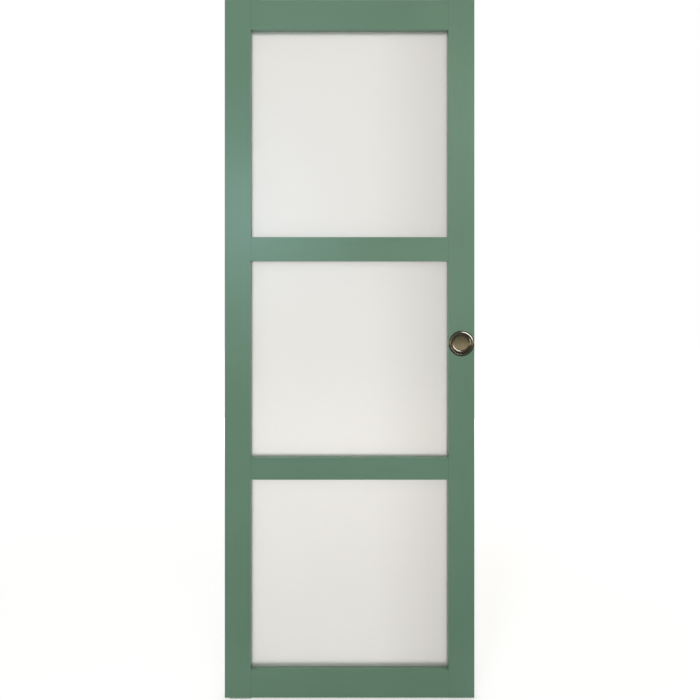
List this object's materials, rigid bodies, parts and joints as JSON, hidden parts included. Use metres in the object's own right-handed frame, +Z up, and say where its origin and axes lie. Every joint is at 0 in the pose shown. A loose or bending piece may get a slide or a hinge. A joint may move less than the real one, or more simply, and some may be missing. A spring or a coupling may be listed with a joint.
{
  "type": "glazed sliding door",
  "caption": "Top-hung sliding door leaf with timber stiles and rails, obscured glass panes and round flush finger pulls, with its track, trolleys and floor guide.",
  "frame": {"origin": "on the floor, below the middle of the track's length, at half the leaf's thickness", "axes": "+X along the track towards the closed end, +Y through the leaf from front to back, +Z up"},
  "size_m": [1.46, 0.0448, 2.104],
  "materials": {
    "painted_timber": "satin lacquer paint in sage green over close-grained timber",
    "frosted_glass": "obscured, acid-etched, near white",
    "glazing_tape": "closed-cell foam tape, white",
    "setting_block": "dense synthetic rubber, black",
    "polished_nickel": "turned brass, polished nickel plate",
    "zinc_steel": "bright zinc plate",
    "trolley_nylon": "black glass-filled nylon",
    "wheel_nylon": "natural white nylon",
    "anodised_aluminium": "satin natural anodised extrusion",
    "buffer_rubber": "black rubber",
    "guide_nylon": "moulded white nylon"
  },
  "bodies": {
    "track_and_guide": {"track": "anodised_aluminium", "track_stop_left": "zinc_steel", "track_stop_right": "zinc_steel", "stop_buffer_left": "buffer_rubber", "stop_buffer_right": "buffer_rubber", "stop_screws": "zinc_steel", "floor_guide": "guide_nylon"},
    "leaf": {"stile_left": "painted_timber", "stile_right": "painted_timber", "rail_bottom": "painted_timber", "rail_lower_mid": "painted_timber", "rail_upper_mid": "painted_timber", "rail_top": "painted_timber", "pane_lower": "frosted_glass", "tape_lower_front": "glazing_tape", "tape_lower_back": "glazing_tape", "bead_lower_bottom": "painted_timber", "bead_lower_right": "painted_timber", "bead_lower_top": "painted_timber", "bead_lower_left": "painted_timber", "pane_middle": "frosted_glass", "tape_middle_front": "glazing_tape", "tape_middle_back": "glazing_tape", "bead_middle_bottom": "painted_timber", "bead_middle_right": "painted_timber", "bead_middle_top": "painted_timber", "bead_middle_left": "painted_timber", "pane_upper": "frosted_glass", "tape_upper_front": "glazing_tape", "tape_upper_back": "glazing_tape", "bead_upper_bottom": "painted_timber", "bead_upper_right": "painted_timber", "bead_upper_top": "painted_timber", "bead_upper_left": "painted_timber", "setting_blocks": "setting_block", "pull_front": "polished_nickel", "pull_back": "polished_nickel", "hanger_plate_left": "zinc_steel", "hanger_bolt_left": "zinc_steel", "lock_nut_left": "zinc_steel", "trolley_left": "trolley_nylon", "hanger_plate_right": "zinc_steel", "hanger_bolt_right": "zinc_steel", "lock_nut_right": "zinc_steel", "trolley_right": "trolley_nylon", "hanger_plate_screws": "zinc_steel", "axles": "zinc_steel"},
    "wheel_left_front_1": {"wheel_left_front_1": "wheel_nylon"},
    "wheel_left_front_2": {"wheel_left_front_2": "wheel_nylon"},
    "wheel_left_back_1": {"wheel_left_back_1": "wheel_nylon"},
    "wheel_left_back_2": {"wheel_left_back_2": "wheel_nylon"},
    "wheel_right_front_1": {"wheel_right_front_1": "wheel_nylon"},
    "wheel_right_front_2": {"wheel_right_front_2": "wheel_nylon"},
    "wheel_right_back_1": {"wheel_right_back_1": "wheel_nylon"},
    "wheel_right_back_2": {"wheel_right_back_2": "wheel_nylon"}
  },
  "joints": [
    {"name": "leaf_slide", "type": "slide", "parent": "track_and_guide", "child": "leaf", "axis": [-1, 0, 0], "range_m": [0, 0.64]},
    {"name": "wheel_left_front_1_roll", "type": "hinge", "parent": "leaf", "child": "wheel_left_front_1", "pos_m": [0.04, 0, 2.0839], "axis": [0, -1, 0], "continuous": true},
    {"name": "wheel_left_front_2_roll", "type": "hinge", "parent": "leaf", "child": "wheel_left_front_2", "pos_m": [0.08, 0, 2.0839], "axis": [0, -1, 0], "continuous": true},
    {"name": "wheel_left_back_1_roll", "type": "hinge", "parent": "leaf", "child": "wheel_left_back_1", "pos_m": [0.04, 0, 2.0839], "axis": [0, -1, 0], "continuous": true},
    {"name": "wheel_left_back_2_roll", "type": "hinge", "parent": "leaf", "child": "wheel_left_back_2", "pos_m": [0.08, 0, 2.0839], "axis": [0, -1, 0], "continuous": true},
    {"name": "wheel_right_front_1_roll", "type": "hinge", "parent": "leaf", "child": "wheel_right_front_1", "pos_m": [0.65, 0, 2.0839], "axis": [0, -1, 0], "continuous": true},
    {"name": "wheel_right_front_2_roll", "type": "hinge", "parent": "leaf", "child": "wheel_right_front_2", "pos_m": [0.69, 0, 2.0839], "axis": [0, -1, 0], "continuous": true},
    {"name": "wheel_right_back_1_roll", "type": "hinge", "parent": "leaf", "child": "wheel_right_back_1", "pos_m": [0.65, 0, 2.0839], "axis": [0, -1, 0], "continuous": true},
    {"name": "wheel_right_back_2_roll", "type": "hinge", "parent": "leaf", "child": "wheel_right_back_2", "pos_m": [0.69, 0, 2.0839], "axis": [0, -1, 0], "continuous": true}
  ],
  "couplings": [
    {"joint": "wheel_left_front_1_roll", "follows": "leaf_slide", "rad_per_m": 90.909},
    {"joint": "wheel_left_front_2_roll", "follows": "leaf_slide", "rad_per_m": 90.909},
    {"joint": "wheel_left_back_1_roll", "follows": "leaf_slide", "rad_per_m": 90.909},
    {"joint": "wheel_left_back_2_roll", "follows": "leaf_slide", "rad_per_m": 90.909},
    {"joint": "wheel_right_front_1_roll", "follows": "leaf_slide", "rad_per_m": 90.909},
    {"joint": "wheel_right_front_2_roll", "follows": "leaf_slide", "rad_per_m": 90.909},
    {"joint": "wheel_right_back_1_roll", "follows": "leaf_slide", "rad_per_m": 90.909},
    {"joint": "wheel_right_back_2_roll", "follows": "leaf_slide", "rad_per_m": 90.909}
  ]
}
